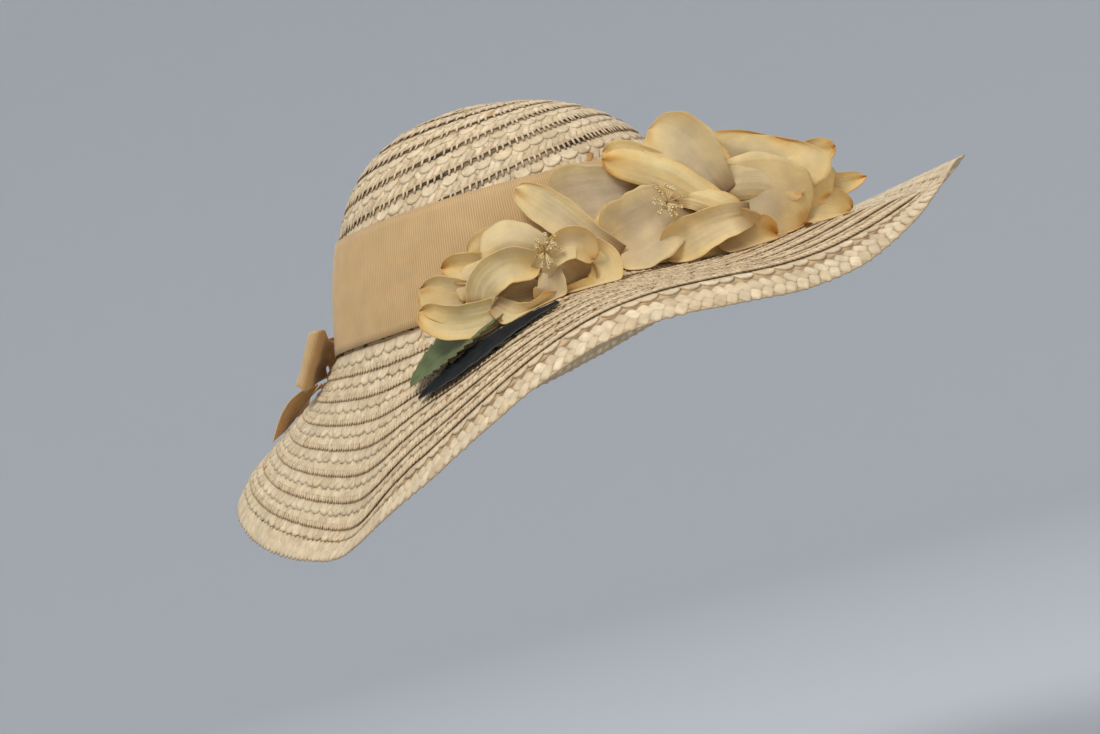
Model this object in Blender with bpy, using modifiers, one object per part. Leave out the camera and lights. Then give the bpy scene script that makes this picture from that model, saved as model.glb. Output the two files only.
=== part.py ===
"""Wide-brimmed straw sun hat with a ribbon band, a spray of cloth flowers and a bow at the back.

Metres, +Z up. The origin is the centre of the head opening, on the plane where crown meets brim.
The front of the hat is -Y and the wearer's right side, where the flowers are, is -X.
Angle t runs round the hat: 0 front, 90 wearer's left, 180 back, 270 wearer's right.
"""

import bmesh
import bpy
import numpy as np

MM = 0.001

# Head opening and crown (mm, measured on the middle of the straw)
HEAD_X, HEAD_Y = 84.0, 100.0        # half width and half length of the headline oval
CROWN_FRONT, CROWN_BACK = 92.0, 111.0
CROWN_TAPER = 0.205                 # how far the side leans in over the full height
CROWN_POWER, CROWN_ROUND = 4.0, 2.33
CROWN_LEAN = -5.0                   # the tip sits this far forward
CROWN_ROWS = 10
CROWN_ROW_TILT = 0.12               # rows ride higher at the front than at the back

# Brim, each by angle round the hat in degrees: slope (down is positive), turn of the edge, width in mm
BRIM_SLOPE = {0: -1, 60: -6, 120: 18, 180: 30, 210: 50, 240: 59, 270: 35, 300: 11, 330: 9}
BRIM_EDGE = {0: -32, 60: 6, 120: 13, 180: 19, 210: 5, 240: -23, 270: 10, 300: 30, 330: 33}
BRIM_WIDTH = {0: 135, 90: 118, 180: 96, 270: 129}
INNER_CURL, INNER_TO = 15.0, 0.25   # the brim starts out steeper, next to the crown
EDGE_FROM, EDGE_TO = 0.80, 0.93     # where along its width the edge turns
BRIM_ROWS = 8
BRIM_PITCH = 0.1165                 # braid pitch as a share of the brim width
BRIM_LAST = 0.838                   # where the outermost, wider round starts

# Braid
STRAW = 1.0                         # thickness of one round of braid
LIFT = 0.85                         # a round's outer edge rides this far over its middle line
LAP = 3.0                           # how far each round laps over the next one
BRIM_MEAN = 121.0                   # mean brim width, for turning a lap into a share of it

BAND_TOP, BAND_FOOT = 53.0, 2.5
BAND_THICK, BAND_LIFT = 0.8, 2.05
SWEAT_TOP, SWEAT_FOOT, SWEAT_LIFT = 28.0, 2.0, -2.2

# Spray of flowers: the blooms face out from the wearer's right, a little forward and down
SPRAY_TURN, SPRAY_NOD, SPRAY_ROLL = -68.3, -3.8, -14.8
PETAL = 0.8
LAYER = 1.4
BOWL, BOWL_AT = 6.0, 30.0

# Bow
BOW_LEAN = 0.62                     # the bow leans back over the brim, in mm of y for each mm of z
TAIL_HINGE = (5.2, 124.5, -10.5)


def colour(name, rgb, rough):
    mat = bpy.data.materials.new(name)
    mat.use_nodes = True
    shader = mat.node_tree.nodes["Principled BSDF"]
    shader.inputs["Base Color"].default_value = (*rgb, 1.0)
    shader.inputs["Roughness"].default_value = rough
    shader.inputs["Metallic"].default_value = 0.0
    mat.diffuse_color = (*rgb, 1.0)
    return mat


def head(t):
    return np.stack([HEAD_X * np.sin(t), -HEAD_Y * np.cos(t)], -1)


def crown(t, u):
    """Points on the crown at angle t, at share u of the way from the headline to the tip centre."""
    z = 1 - (1 - np.linspace(0, 1, 241)) ** 3
    k = (1 - CROWN_TAPER * z) * np.clip(1 - z**CROWN_POWER, 0, 1) ** (1 / CROWN_ROUND)
    xy = head(t)[:, None, :] * k[None, :, None]
    mean, tip = (CROWN_FRONT + CROWN_BACK) / 2, (CROWN_BACK - CROWN_FRONT) / 2
    height = (mean + tip * xy[..., 1] / HEAD_Y) * z
    p = np.stack([xy[..., 0], xy[..., 1] + CROWN_LEAN * z, height], -1)
    run = np.linalg.norm(np.diff(p, axis=1), axis=-1)
    arc = np.concatenate([np.zeros((len(t), 1)), np.cumsum(run, axis=1)], axis=1)
    u = u + CROWN_ROW_TILT * np.sin(np.pi * u) * np.cos(t)
    at = u * arc[:, -1]
    return np.array([[np.interp(s, a, q[:, i]) for i in range(3)] for s, a, q in zip(at, arc, p)])


def crown_level(t, z):
    """Points on the crown at height z above the headline, for the bands that lie level."""
    y = -np.cos(t)
    height = (CROWN_FRONT + CROWN_BACK) / 2 + (CROWN_BACK - CROWN_FRONT) / 2 * y
    share = z / height
    k = (1 - CROWN_TAPER * share) * (1 - share**CROWN_POWER) ** (1 / CROWN_ROUND)
    xy = head(t) * k[:, None]
    return np.stack([xy[:, 0], xy[:, 1] + CROWN_LEAN * share, z], -1)


def around(stops, t):
    """A smooth periodic curve through stops, which maps an angle in degrees to a value."""
    at = np.array(list(stops), float)
    value = np.array(list(stops.values()), float)
    n = len(at)
    deg = np.degrees(np.mod(t, 2 * np.pi))
    i = np.searchsorted(at, deg, side="right") - 1
    far, wide = np.concatenate([at - 360, at, at + 360]), np.tile(value, 3)
    x = [far[i + n + k] for k in (-1, 0, 1, 2)]
    y = [wide[i + n + k] for k in (-1, 0, 1, 2)]
    h = x[2] - x[1]
    f = (deg - x[1]) / h
    m0, m1 = (y[2] - y[0]) / (x[2] - x[0]) * h, (y[3] - y[1]) / (x[3] - x[1]) * h
    low = (2 * f**3 - 3 * f**2 + 1) * y[1] + (f**3 - 2 * f**2 + f) * m0
    return low + (3 * f**2 - 2 * f**3) * y[2] + (f**3 - f**2) * m1


def brim(t, v):
    """Points on the brim at angle t, at share v of the way from the headline to the edge."""
    n = 121
    s = np.linspace(0, 1, n)[None, :] * v[:, None]
    e = np.clip((s - EDGE_FROM) / (EDGE_TO - EDGE_FROM), 0, 1)
    e = e * e * (3 - 2 * e)
    inner = np.clip(1 - s / INNER_TO, 0, 1)
    ang = around(BRIM_SLOPE, t)[:, None] + INNER_CURL * inner + around(BRIM_EDGE, t)[:, None] * e
    ang = np.radians(ang)
    step = v[:, None] / (n - 1) * around(BRIM_WIDTH, t)[:, None]
    r = ((np.cos(ang[:, 1:]) + np.cos(ang[:, :-1])) / 2 * step).sum(1)
    z = ((np.sin(ang[:, 1:]) + np.sin(ang[:, :-1])) / 2 * step).sum(1)
    out = np.stack([np.sin(t) / HEAD_X, -np.cos(t) / HEAD_Y], -1)
    out = out / np.linalg.norm(out, axis=-1, keepdims=True)
    xy = head(t) + out * r[:, None]
    return np.stack([xy[:, 0], xy[:, 1], -z], -1)


def lifted(surface, t, s, lift, sign):
    """Points of a surface moved out along its normal."""
    d = 1e-3
    s = np.broadcast_to(np.asarray(s, float), t.shape).copy()
    along = surface(t + d, s) - surface(t - d, s)
    across = surface(t, s + d * sign[1]) - surface(t, s - d * sign[1])
    normal = np.cross(along, across) * sign[0]
    normal /= np.linalg.norm(normal, axis=-1, keepdims=True)
    return surface(t, s) + normal * lift


OUT = (1.0, 1.0)
UP = (-1.0, 1.0)


def build(name, points, faces, mat, thick=0.0, origin=(0, 0, 0), smooth=True):
    mesh = bpy.data.meshes.new(name)
    pts = (np.asarray(points, float) - np.asarray(origin, float)) * MM
    mesh.from_pydata([tuple(p) for p in pts], [], faces)
    bm = bmesh.new()
    bm.from_mesh(mesh)
    bmesh.ops.recalc_face_normals(bm, faces=bm.faces)
    bm.to_mesh(mesh)
    bm.free()
    obj = bpy.data.objects.new(name, mesh)
    obj.location = [c * MM for c in origin]
    HAT.objects.link(obj)
    mesh.materials.append(mat)
    for face in mesh.polygons:
        face.use_smooth = smooth
    if thick:
        shell = obj.modifiers.new("thickness", "SOLIDIFY")
        shell.thickness = thick * MM
        shell.offset = 0.0
    return obj


def ring_faces(count, rows):
    return [
        (j * count + i, j * count + (i + 1) % count, (j + 1) * count + (i + 1) % count, (j + 1) * count + i)
        for j in range(rows - 1)
        for i in range(count)
    ]


def grid_faces(across, along):
    return [
        (j * across + i, j * across + i + 1, (j + 1) * across + i + 1, (j + 1) * across + i)
        for j in range(along - 1)
        for i in range(across - 1)
    ]


def angles(count):
    return np.linspace(0, 2 * np.pi, count, endpoint=False)


def braid_round(name, surface, sign, stations, lifts, count):
    """One round of braid: a closed strip of straw, tucked along one edge and riding over on the other."""
    t = angles(count)
    points = np.concatenate([lifted(surface, t, s, h, sign) for s, h in zip(stations, lifts)])
    return build(name, points, ring_faces(count, len(stations)), STRAW_MAT, STRAW)


def crown_rounds():
    """Rounds from the headline up. Each one's foot laps over the head of the round below it."""
    first, last = 0.006, 0.93
    edges = np.linspace(first, last, CROWN_ROWS + 1)
    lap = LAP / 165.0
    for i in range(CROWN_ROWS):
        foot, top = edges[i], edges[i + 1] + lap
        curved = foot > 0.25
        stations = [foot, foot + lap, top - lap, top] if curved else [foot, top]
        lifts = [LIFT - 2 * LIFT * (s - foot) / (top - foot) for s in stations]
        braid_round(f"crown_row_{i + 1:02d}", crown, OUT, stations, lifts, 32)
    t = angles(32)
    button = [last, 0.965]
    points = [lifted(crown, t, s, LIFT, OUT) for s in button]
    centre = points[1].mean(0) + (0, 0, 0.1)
    faces = ring_faces(32, 2) + [(32 + i, 32 + (i + 1) % 32, 64) for i in range(32)]
    build("crown_button", np.concatenate([*points, [centre]]), faces, STRAW_MAT, STRAW)


def brim_rounds():
    """Rounds from the headline out. Each one's outer edge laps over the inner edge of the next."""
    lap = LAP / BRIM_MEAN
    steps = BRIM_ROWS - 1
    edges = [0.006] + [BRIM_LAST - (steps - 1 - i) * BRIM_PITCH for i in range(steps)] + [1.0]
    for i in range(BRIM_ROWS):
        outer = edges[i + 1]
        inner = edges[i] - (lap if i else 0)
        stations = [inner, inner + lap, outer - lap, outer]
        if i == steps:
            stations = [inner, inner + lap, 0.87, 0.90, EDGE_TO, outer]
        lifts = [-LIFT + 2 * LIFT * (s - inner) / (outer - inner) for s in stations]
        braid_round(f"brim_row_{i + 1}", brim, UP, stations, lifts, 44)


def level_band(name, foot, top, lift, mat, rows):
    t = angles(32)
    heights = foot + (top - foot) * np.linspace(0, 1, rows) ** 0.8

    def surface(tt, z):
        return crown_level(tt, z)

    points = np.concatenate([lifted(surface, t, z, lift, OUT) for z in heights])
    build(name, points, ring_faces(32, rows), mat, BAND_THICK)


def spray_axes():
    az, el, roll = np.radians([SPRAY_TURN, SPRAY_NOD, SPRAY_ROLL])
    face = np.array([np.sin(az) * np.cos(el), -np.cos(az) * np.cos(el), np.sin(el)])
    side = np.array([np.cos(az), np.sin(az), 0.0])
    up = np.cross(face, side)
    right = np.cos(roll) * side + np.sin(roll) * up
    return right, -np.sin(roll) * side + np.cos(roll) * up, face


def in_spray(centre, local):
    right, up, face = spray_axes()
    local = np.atleast_2d(local)
    return np.array(centre) + local[:, :1] * right + local[:, 1:2] * up + local[:, 2:] * face


def petal(name, centre, tip, width, layer, mat, along=6, across=3):
    """A leaf-shaped patch on the flower's dish, running from beside the heart to its tip."""
    tip = np.array(tip, float)
    reach = np.hypot(*tip)
    start = tip / reach * 5.4
    side = np.array([-tip[1], tip[0]]) / reach
    rows = []
    for j in range(along):
        s = j / (along - 1)
        half = width / 2 * (0.16 + 0.84 * np.sin(np.pi * min(1, 0.10 + 0.84 * s**0.85)) ** 0.8)
        if s == 0:
            half = min(half, 2.2)
        mid = start + (tip - start) * s
        for i in range(across):
            q = mid + side * half * (2 * i / (across - 1) - 1)
            rho = np.hypot(*q)
            rows.append((q[0], q[1], layer * LAYER + BOWL * (1 - np.exp(-((rho / BOWL_AT) ** 2)))))
    build(name, in_spray(centre, rows), grid_faces(across, along), mat, PETAL)


def turned(name, centre, profile, mat, count=10):
    """A small round piece on the flower's axis, from a closed profile of (radius, z) that starts and ends at 0."""
    rows = [(r * np.cos(a), r * np.sin(a), z) for r, z in profile[1:-1] for a in angles(count)]
    rows = [(0, 0, profile[0][1]), *rows, (0, 0, profile[-1][1])]
    k = len(profile) - 2
    faces = [(0, 1 + (i + 1) % count, 1 + i) for i in range(count)]
    for j in range(k - 1):
        a, b = 1 + j * count, 1 + (j + 1) * count
        faces += [(a + i, a + (i + 1) % count, b + (i + 1) % count, b + i) for i in range(count)]
    last = 1 + (k - 1) * count
    faces += [(last + i, last + (i + 1) % count, len(rows) - 1) for i in range(count)]
    build(name, in_spray(centre, rows), faces, mat)


FLOWERS = {
    "rear": (
        (-86, -55, 27),
        {
            "inner_top": (-15, 26, 16, 2), "inner_front": (33, -6, 16, 3), "side": (-34, 2, 20, 1),
            "outer_back": (-56, -22, 22, 0), "outer_low": (-42, -38, 24, -1), "low": (-14, -27, 24, -2),
            "front_low": (15, -23, 22, -3),
        },
    ),
    "middle": (
        (-46, -100, 30),
        {
            "back": (-46, 10, 20, -1), "back_low": (-30, -20, 24, 1), "low": (0, -24, 24, 3),
            "front_low": (34, -18, 22, 2), "top": (-8, 28, 24, 0), "front_top": (28, 26, 24, -2),
        },
    ),
    "front": (
        (-20, -128, 38),
        {
            "round": (36, -17, 30, 4), "upper": (35, 12, 20, 2), "crest": (-15, 14, 14, 3),
            "point_top": (50, 11, 12, 1), "point_front": (65, -4, 10, 0), "point_low": (56, -13, 12, -1),
            "low": (10, -34, 24, -2), "back_low": (-30, -32, 22, -3),
        },
    ),
}


def flowers():
    for which, (centre, petals) in FLOWERS.items():
        for label, (x, y, width, layer) in petals.items():
            petal(f"{which}_flower_petal_{label}", centre, (x, y), width, layer, PETAL_MAT)
        stamens = [(0, -1), (2.0, -0.6), (3.4, 9), (4.0, 12), (2.4, 13.4), (0, 14)]
        turned(f"{which}_flower_stamens", centre, stamens, STAMEN_MAT)
        calyx = [(0, -12), (1.6, -11.4), (4.6, -7.2), (3.0, -6.2), (0, -6.0)]
        turned(f"{which}_flower_calyx", centre, calyx, STEM_MAT)


def leaf(name, path, width, lift, mat):
    """A leaf lying over the brim. path gives (angle in degrees, share of brim width) at base and tip."""
    base, tip = np.array(path[0], float), np.array(path[1], float)
    along, across = 7, 3
    rows = []
    mid, share = np.radians((base[0] + tip[0]) / 2), np.array([(base[1] + tip[1]) / 2])
    near, far = brim(np.array([mid - 0.01]), share), brim(np.array([mid + 0.01]), share)
    lengths = np.array([np.linalg.norm(far - near) / np.degrees(0.02), BRIM_MEAN])
    d = (tip - base) * lengths
    side = np.array([-d[1], d[0]]) / np.linalg.norm(d) / lengths
    for j in range(along):
        s = j / (along - 1)
        half = width / 2 * max(0.10, np.sin(np.pi * min(0.97, 0.08 + 0.9 * s)) ** 0.8)
        for i in range(across):
            q = base + (tip - base) * s + side * half * (2 * i / (across - 1) - 1)
            rows.append(lifted(brim, np.radians(q[:1]), q[1:2], lift, UP)[0])
    build(name, rows, grid_faces(across, along), mat, PETAL)


def tube(name, path, radius, mat):
    curve = bpy.data.curves.new(name, "CURVE")
    curve.dimensions = "3D"
    curve.bevel_depth = radius * MM
    curve.bevel_resolution = 1
    curve.use_fill_caps = True
    spline = curve.splines.new("POLY")
    spline.points.add(len(path) - 1)
    for point, p in zip(spline.points, path):
        point.co = (*(np.array(p) * MM), 1.0)
    obj = bpy.data.objects.new(name, curve)
    HAT.objects.link(obj)
    curve.materials.append(mat)


def loop(name, side):
    """One loop of the bow: ribbon folded out from the knot and back, curving round the crown and leaning back."""
    inner = [(7.2, 111), (20, 108), (34, 102.5), (44, 98.5), (49, 99)]
    outer = [(50, 102.5), (45, 107), (33, 113), (19, 117.5), (7.2, 117.5)]
    rows = []
    for k, (x, y) in enumerate(inner + outer):
        top = 8.5 + 4.5 * (x - 7) / 42
        foot = -9.0 if k < len(inner) else -4.0
        for z in np.linspace(foot, top, 3):
            rows.append((side * x, y - BOW_LEAN * (z - 1.0), z))
    build(name, rows, grid_faces(3, len(inner + outer)), RIBBON_MAT, PETAL)


def tail(name, side, reach, drop, slant):
    """A ribbon tail, gathered where it leaves the knot and spreading to its cut end on the brim."""
    rows = []
    hx, hy, hz = TAIL_HINGE
    for j in range(7):
        s = j / 6
        inner, outer = 0.8 + 2.4 * s, 9.5 + 20.5 * s
        for i in range(4):
            x = inner + (outer - inner) * i / 3
            y = hy + reach * s + 1.2 * (-1) ** i * (1 - 0.5 * s)
            rows.append((side * x, y, hz - (drop + slant * i / 3) * s))
    build(name, rows, grid_faces(4, 7), RIBBON_MAT, PETAL, (side * hx, hy, hz))


def knot():
    """The wrap at the middle of the bow, holding loops and tails together."""
    bm = bmesh.new()
    bmesh.ops.create_cube(bm, size=1.0)
    for vertex in bm.verts:
        x, y, z = vertex.co.x * 12, vertex.co.y * 12, vertex.co.z * 18
        vertex.co = (x * MM, (y - BOW_LEAN * z) * MM, z * MM)
    mesh = bpy.data.meshes.new("bow_knot")
    bm.to_mesh(mesh)
    bm.free()
    obj = bpy.data.objects.new("bow_knot", mesh)
    obj.location = (0, 114.0 * MM, 1.5 * MM)
    HAT.objects.link(obj)
    mesh.materials.append(RIBBON_MAT)
    bevel = obj.modifiers.new("rounded", "BEVEL")
    bevel.width = 3 * MM
    bevel.segments = 3


for old in list(bpy.data.objects):
    bpy.data.objects.remove(old, do_unlink=True)

HAT = bpy.data.collections.new("straw_sun_hat")
bpy.context.scene.collection.children.link(HAT)
STRAW_MAT = colour("straw", (0.68, 0.55, 0.37), 0.7)
RIBBON_MAT = colour("grosgrain_ribbon", (0.55, 0.36, 0.16), 0.6)
LINING_MAT = colour("inner_ribbon", (0.74, 0.66, 0.52), 0.65)
PETAL_MAT = colour("cloth_petal", (0.74, 0.62, 0.36), 0.75)
STAMEN_MAT = colour("stamen_beads", (0.82, 0.76, 0.58), 0.5)
STEM_MAT = colour("wrapped_stem", (0.26, 0.27, 0.12), 0.7)
LEAF_MAT = colour("green_cloth_leaf", (0.13, 0.17, 0.06), 0.7)
DARK_LEAF_MAT = colour("dark_velvet_leaf", (0.03, 0.03, 0.03), 0.85)

crown_rounds()
brim_rounds()
level_band("hat_band", BAND_FOOT, BAND_TOP, BAND_LIFT, RIBBON_MAT, 6)
level_band("sweatband", SWEAT_FOOT, SWEAT_TOP, SWEAT_LIFT, LINING_MAT, 2)
flowers()
leaf("green_leaf", ((289, 0.24), (262, 0.36)), 24, 5.6, LEAF_MAT)
leaf("dark_leaf", ((299, 0.37), (266, 0.47)), 20, 3.2, DARK_LEAF_MAT)
rear, middle, front = (np.array(c, float) for c, _ in FLOWERS.values())
bends = [(rear, -14.0), ((rear + middle) / 2, -9.0), (middle, -14.0), (front, -14.0)]
tube("spray_stem", [in_spray(c, (0, 0, z))[0] for c, z in bends], 1.2, STEM_MAT)
loop("bow_loop_right", -1)
loop("bow_loop_left", 1)
tail("bow_tail_right", -1, 22.0, 16.5, 7.0)
tail("bow_tail_left", 1, 24.0, 14.0, 0.0)
knot()
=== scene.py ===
"""Finish of the straw sun hat: sewn braid, ribbon, cloth flowers, leaves and bow, laid over the frame.

Lengths are millimetres, and mesh() turns them into metres. Angle t runs round the hat: 0 at the front,
90 at the wearer's left, 180 at the back and 270 at the wearer's right, where the flowers are.
"""

import bpy
import numpy as np
from mathutils import Matrix, Vector


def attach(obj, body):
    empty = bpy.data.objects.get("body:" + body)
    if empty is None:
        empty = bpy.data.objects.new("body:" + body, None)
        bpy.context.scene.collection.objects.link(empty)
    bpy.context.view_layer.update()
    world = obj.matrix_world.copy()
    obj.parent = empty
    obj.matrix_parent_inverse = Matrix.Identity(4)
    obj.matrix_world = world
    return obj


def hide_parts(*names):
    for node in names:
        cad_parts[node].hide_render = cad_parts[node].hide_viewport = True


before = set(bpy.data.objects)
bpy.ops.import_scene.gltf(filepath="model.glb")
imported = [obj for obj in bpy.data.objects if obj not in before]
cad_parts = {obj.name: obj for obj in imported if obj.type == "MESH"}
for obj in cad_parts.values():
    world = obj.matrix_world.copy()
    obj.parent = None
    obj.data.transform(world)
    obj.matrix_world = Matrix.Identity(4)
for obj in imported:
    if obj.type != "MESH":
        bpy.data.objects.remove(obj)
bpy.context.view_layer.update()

MM = 0.001
RNG = np.random.default_rng(7)

# Shape of the straw, as the frame has it but for closer laps and a lower band foot
HEAD_X, HEAD_Y = 84.0, 100.0
CROWN_FRONT, CROWN_BACK = 92.0, 111.0
CROWN_TAPER, CROWN_POWER, CROWN_ROUND = 0.205, 4.0, 2.33
CROWN_LEAN, CROWN_ROW_TILT = -5.0, 0.12
CROWN_ROWS, CROWN_FIRST, CROWN_LAST = 10, 0.006, 0.93
BRIM_SLOPE = {0: -1, 60: -6, 120: 18, 180: 30, 210: 50, 240: 59, 270: 35, 300: 11, 330: 9}
BRIM_EDGE = {0: -32, 60: 6, 120: 13, 180: 19, 210: 5, 240: -23, 270: 10, 300: 30, 330: 33}
BRIM_WIDTH = {0: 135, 90: 118, 180: 96, 270: 129}
BRIM_MEAN, CROWN_MEAN = 121.0, 165.0      # along the brim outwards, and down the crown
INNER_CURL, INNER_TO = 15.0, 0.25
EDGE_FROM, EDGE_TO = 0.80, 0.93
BRIM_ROWS, BRIM_PITCH, BRIM_LAST = 8, 0.1165, 0.838
LIFT, LAP = 0.62, 3.0
BAND_TOP, BAND_FOOT, BAND_LIFT = 53.0, 0.6, 2.05
SWEAT_TOP, SWEAT_FOOT, SWEAT_LIFT = 28.0, 2.0, -2.2
BOW_LEAN = 0.62
TAIL_HINGE = (5.2, 124.5, -10.5)

# Colours, linear
STRAW_PALE, STRAW_MID = (0.78, 0.62, 0.40), (0.62, 0.45, 0.25)
# The brown and the black below, and STRAW_SHADE, are painted shade colours: for the open seams between
# rounds, the painted shadow under the scales' free ends, the sides and feet of the straws and the grooves of
# the crown's start.
STRAW_SHADOW_BROWN, STRAW_SEAM_SHADE = (0.20, 0.10, 0.045), (0.02, 0.015, 0.012)
STRAW_SHADE, STRAW_KNOT = (0.34, 0.21, 0.10), (0.50, 0.27, 0.09)


# ---------------------------------------------------------------- materials

def material(name, rough, bump=(), mottle=0.12, scale=900.0, sheen=0.0, tinted=True, colour=(0.5, 0.5, 0.5)):
    """A matt natural material: the piece's own tint, mottled, with layers of fine relief.

    bump is a list of (noise scale, strength, distance in metres, stretched along the grain or not).
    """
    mat = bpy.data.materials.new(name)
    mat.use_nodes = True
    nodes, links = mat.node_tree.nodes, mat.node_tree.links
    shader = nodes["Principled BSDF"]
    shader.inputs["Roughness"].default_value = rough
    shader.inputs["Sheen Weight"].default_value = sheen
    shader.inputs["Sheen Roughness"].default_value = 0.5
    noise = nodes.new("ShaderNodeTexNoise")
    noise.inputs["Scale"].default_value = scale
    noise.inputs["Detail"].default_value = 4.0
    coords = nodes.new("ShaderNodeTexCoord")
    links.new(coords.outputs["Object"], noise.inputs["Vector"])
    ramp = nodes.new("ShaderNodeMapRange")
    ramp.inputs["From Min"].default_value, ramp.inputs["From Max"].default_value = 0.3, 0.7
    ramp.inputs["To Min"].default_value, ramp.inputs["To Max"].default_value = 1 - mottle, 1 + mottle
    links.new(noise.outputs["Fac"], ramp.inputs["Value"])
    tint = nodes.new("ShaderNodeAttribute" if tinted else "ShaderNodeRGB")
    if tinted:
        tint.attribute_name = "tint"
    else:
        tint.outputs["Color"].default_value = (*colour, 1.0)
    mix = nodes.new("ShaderNodeVectorMath")
    mix.operation = "SCALE"
    links.new(tint.outputs["Color"], mix.inputs[0])
    links.new(ramp.outputs["Result"], mix.inputs["Scale"])
    links.new(mix.outputs["Vector"], shader.inputs["Base Color"])
    normal = None
    for fine, strength, distance, grained in bump:
        relief = nodes.new("ShaderNodeTexNoise")
        relief.inputs["Scale"].default_value = fine
        relief.inputs["Detail"].default_value = 3.0
        if grained:
            grain = nodes.new("ShaderNodeAttribute")
            grain.attribute_name = "grain"
            links.new(grain.outputs["Vector"], relief.inputs["Vector"])
        else:
            links.new(coords.outputs["Object"], relief.inputs["Vector"])
        knob = nodes.new("ShaderNodeBump")
        knob.inputs["Strength"].default_value = strength
        knob.inputs["Distance"].default_value = distance
        links.new(relief.outputs["Fac"], knob.inputs["Height"])
        if normal:
            links.new(normal, knob.inputs["Normal"])
        normal = knob.outputs["Normal"]
    if normal:
        links.new(normal, shader.inputs["Normal"])
    mat.diffuse_color = (*colour, 1.0)
    return mat


def straw_material():
    relief = [(1.0, 0.5, 0.00025, True), (700.0, 0.25, 0.0002, False)]
    mat = material("straw_braid", 0.52, relief, mottle=0.16, scale=260.0, colour=STRAW_MID)
    mat.node_tree.nodes["Principled BSDF"].inputs["Specular IOR Level"].default_value = 0.35
    return mat


STRAW = straw_material()
RIBBON = material("ribbon_grosgrain", 0.62, [(2500.0, 0.25, 0.0001, False)], 0.06, 90.0, 0.25)
LINING = material("ribbon_lining", 0.6, [(2500.0, 0.25, 0.0001, False)], 0.05, 120.0, 0.2)
PETAL = material("petal_cloth", 0.7, [(1.0, 0.35, 0.0004, True), (420.0, 0.3, 0.0005, False)],
                 0.10, 110.0, 0.3)
LEAF = material("leaf_cloth", 0.6, [(1.0, 0.4, 0.0004, True)], 0.22, 160.0, 0.1)
VELVET = material("leaf_velvet", 0.9, [(1800.0, 0.5, 0.0003, False)], 0.25, 260.0, 0.02)
VELVET.node_tree.nodes["Principled BSDF"].inputs["Specular IOR Level"].default_value = 0.12
BEAD = material("stamen_bead", 0.35, [(900.0, 0.2, 0.0001, False)], 0.10, 500.0)
WRAP = material("stem_wrap", 0.75, [(900.0, 0.5, 0.0003, False)], 0.2, 400.0,
                tinted=False, colour=(0.16, 0.17, 0.07))


# ---------------------------------------------------------------- meshes

def mesh(name, points, faces, mat, tint=None, grain=None, body="hat", thick=0.0, smooth=True):
    data = bpy.data.meshes.new(name)
    data.from_pydata((np.asarray(points) * MM).tolist(), [], faces)
    if tint is not None:
        layer = data.attributes.new("tint", "FLOAT_COLOR", "POINT")
        rgba = np.concatenate([np.asarray(tint, np.float32), np.ones((len(points), 1), np.float32)], 1)
        layer.data.foreach_set("color", rgba.ravel())
    if grain is not None:
        layer = data.attributes.new("grain", "FLOAT_VECTOR", "POINT")
        layer.data.foreach_set("vector", np.asarray(grain, np.float32).ravel())
    data.polygons.foreach_set("use_smooth", np.full(len(data.polygons), smooth))
    data.materials.append(mat)
    data.update()
    obj = bpy.data.objects.new(name, data)
    bpy.context.scene.collection.objects.link(obj)
    if thick:
        shell = obj.modifiers.new("thickness", "SOLIDIFY")
        shell.thickness = thick * MM
        shell.offset = 0.0
    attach(obj, body)
    return obj


def grid(across, along, closed=False):
    """Quads over a grid stored row by row, each row `across` points long; closed joins a row's ends."""
    i, j = np.meshgrid(np.arange(across if closed else across - 1), np.arange(along - 1))
    i, j = i.ravel(), j.ravel()
    k = (i + 1) % across
    return np.stack([j * across + i, j * across + k, (j + 1) * across + k, (j + 1) * across + i], 1)


def pad(a, b, h, shade, foot=-0.35):
    """A small closed mesh: a raised patch over (a, b), both (rows, columns), with sides down to foot."""
    rows, cols = a.shape
    top = np.stack([a, b, h], -1).reshape(-1, 3)
    ring = [(0, c) for c in range(cols)] + [(r, cols - 1) for r in range(1, rows)]
    ring += [(rows - 1, c) for c in range(cols - 2, -1, -1)] + [(r, 0) for r in range(rows - 2, 0, -1)]
    edge = np.array([r * cols + c for r, c in ring])
    base = top[edge].copy()
    base[:, 2] = foot
    n, m = len(top), len(edge)
    k = np.arange(m)
    sides = np.stack([edge, n + k, n + (k + 1) % m, edge[(k + 1) % m]], 1)
    # The sides down to the foot get shade 0, the full painted shade colour: a painted shadow round each
    # straw's foot.
    shades = np.concatenate([shade.ravel(), np.full(m, 0.0)])
    return np.concatenate([top, base]), np.concatenate([grid(cols, rows), sides]), n + k[::-1], shades


def strand(width, length, height, taper=0.35, cols=5, rows=6):
    """One plaited straw: a flat pillow, longer along b, that dips at both ends."""
    x, y = np.meshgrid(np.linspace(-1, 1, cols), np.linspace(-1, 1, rows))
    a = x * width / 2 * (1 - taper * y**4)
    h = height * np.clip(1 - 0.75 * x**4, 0, 1) * np.clip(1 - 0.85 * y**6, 0, 1)
    # Painted shade: darker towards the straw's sides and ends, where it dips.
    shade = 1 - 0.35 * np.abs(x) ** 5 - 0.35 * np.abs(y) ** 7
    return pad(a, y * length / 2, h, shade)


def scallop(width, length, height, cols=9, rows=5):
    """A fish scale of straw: tucked in at its inner end, free and rounded at its outer end."""
    x, y = np.meshgrid(np.linspace(-1, 1, cols), np.linspace(0, 1, rows))
    reach = length * np.sqrt(1 - 0.72 * x**2)
    ridge = 1 - 0.12 * np.cos(4 * np.pi * x)
    h = height * (0.10 + 0.90 * y**1.3) * (1 - 0.25 * x**4) * ridge
    # Painted shade: darker towards the tucked inner end and at the far sides.
    shade = np.clip(1 - 0.30 * (1 - y) ** 3 - 0.15 * np.abs(x) ** 7, 0, 1)
    return pad(x * width / 2, -length / 2 + y * reach, h, shade)


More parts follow.
